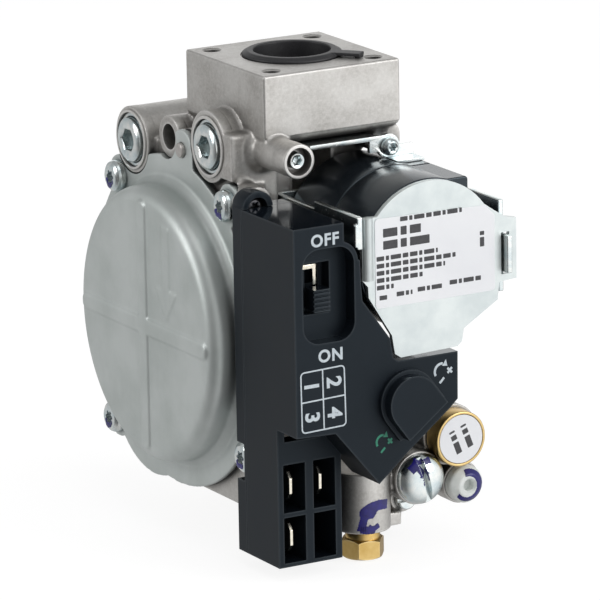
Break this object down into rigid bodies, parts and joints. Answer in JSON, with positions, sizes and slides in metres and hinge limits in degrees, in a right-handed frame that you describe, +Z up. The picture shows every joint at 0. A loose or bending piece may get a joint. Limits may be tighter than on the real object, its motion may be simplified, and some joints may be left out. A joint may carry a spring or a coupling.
{
  "type": "combination gas valve",
  "caption": "Compact furnace gas valve with inlet flange, diaphragm cover, twin solenoid coils, switch and terminal housing, regulator, taps and pilot outlet.",
  "frame": {"origin": "middle of the valve's bounding box in plan, at the level of its lowest point (the pilot nut's underside)", "axes": "+Z up, out of the inlet flange; -Y is the front with the switch, label and regulator; the diaphragm cover faces -X"},
  "size_m": [0.0608, 0.1018, 0.1091],
  "materials": {
    "cast_body": "satin casting",
    "pressed_cover": "zinc-plated pressing",
    "zinc_hardware": "bright zinc",
    "steel": "plain turned steel",
    "brass": "turned brass",
    "copper": "enamelled copper wire",
    "nickel": "tinned contact metal",
    "black_plastic": "satin moulded",
    "black_resin": "glossy moulded resin",
    "rubber": "matt",
    "white_plastic": "satin moulded",
    "label_film": "printed film",
    "white_print": "pad print",
    "blue_paint": "inspection paint",
    "green_paint": "pad print"
  },
  "bodies": {
    "valve": {"valve_body": "cast_body", "inlet_seal_ring": "rubber", "inlet_screen": "steel", "diaphragm_cover": "pressed_cover", "main_diaphragm": "rubber", "locating_pin": "steel", "main_spring": "steel", "cover_screw_ul": "zinc_hardware", "cover_screw_ur": "zinc_hardware", "cover_screw_ll": "zinc_hardware", "cover_screw_lr": "zinc_hardware", "left_pipe_plug": "zinc_hardware", "right_pipe_plug": "zinc_hardware", "left_plug_washer": "zinc_hardware", "right_plug_washer": "zinc_hardware", "rear_coil_shell": "black_resin", "front_coil_shell": "black_resin", "rear_winding": "copper", "front_winding": "copper", "core_tube": "steel", "pole_piece": "steel", "middle_pole_ring": "steel", "main_plunger_spring": "steel", "pilot_plunger_spring": "steel", "coil_frame": "zinc_hardware", "front_plate": "zinc_hardware", "rating_label": "label_film", "coil_strap": "zinc_hardware", "strap_screw": "zinc_hardware", "switch_case": "black_plastic", "switch_cover": "black_plastic", "housing_screw": "zinc_hardware", "switch_body": "black_plastic", "switch_contact": "nickel", "terminal_block": "black_plastic", "terminal_blade_1": "nickel", "terminal_blade_2": "nickel", "terminal_blade_3": "nickel", "regulator_cap": "zinc_hardware", "regulator_spring": "steel", "gas_cap": "brass", "gas_cap_disc": "label_film", "pilot_nut": "brass", "pilot_ferrule": "brass"},
    "switch_slider": {"switch_slider": "black_plastic"},
    "main_plunger": {"main_plunger": "steel", "main_plunger_tip": "rubber"},
    "pilot_plunger": {"pilot_plunger": "steel", "pilot_seat_ring": "rubber"},
    "main_valve": {"diaphragm_plate": "zinc_hardware", "valve_stem": "zinc_hardware", "main_valve_disc": "rubber"},
    "regulator_diaphragm": {"regulator_diaphragm": "rubber"},
    "regulator_adjuster": {"regulator_adjuster": "white_plastic"},
    "pilot_adjuster": {"pilot_adjuster": "zinc_hardware"},
    "inlet_tap_screw": {"inlet_tap_screw": "zinc_hardware"},
    "outlet_tap_plug": {"outlet_tap_plug": "white_plastic"}
  },
  "joints": [
    {"name": "switch_slide", "type": "slide", "parent": "valve", "child": "switch_slider", "axis": [0, 0, 1], "range_m": [0, 0.005]},
    {"name": "main_plunger_slide", "type": "slide", "parent": "valve", "child": "main_plunger", "axis": [0, -1, 0], "range_m": [0, 0.002], "deforming": ["main_plunger_spring"]},
    {"name": "pilot_plunger_slide", "type": "slide", "parent": "valve", "child": "pilot_plunger", "axis": [0, -1, 0], "range_m": [0, 0.002], "deforming": ["pilot_plunger_spring"]},
    {"name": "main_valve_slide", "type": "slide", "parent": "valve", "child": "main_valve", "axis": [-1, 0, 0], "range_m": [0, 0.003], "deforming": ["main_spring", "main_diaphragm"]},
    {"name": "regulator_diaphragm_slide", "type": "slide", "parent": "valve", "child": "regulator_diaphragm", "axis": [0, -1, 0], "range_m": [-0.0004, 0.0004], "deforming": ["regulator_spring"]},
    {"name": "regulator_adjuster_turn", "type": "hinge", "parent": "valve", "child": "regulator_adjuster", "pos_m": [0.01135, -0.0289, 0.017], "axis": [0, -1, 0], "range_deg": [-900, 900]},
    {"name": "pilot_adjuster_turn", "type": "hinge", "parent": "valve", "child": "pilot_adjuster", "pos_m": [0.01555, -0.0239, 0.0083], "axis": [0, -1, 0], "range_deg": [-270, 270]},
    {"name": "inlet_tap_turn", "type": "hinge", "parent": "valve", "child": "inlet_tap_screw", "pos_m": [-0.01415, -0.0279, 0.0906], "axis": [0, -1, 0], "range_deg": [0, 450]},
    {"name": "outlet_tap_turn", "type": "hinge", "parent": "valve", "child": "outlet_tap_plug", "pos_m": [0.02345, -0.0359, 0.0136], "axis": [0, -1, 0], "range_deg": [0, 450]}
  ]
}
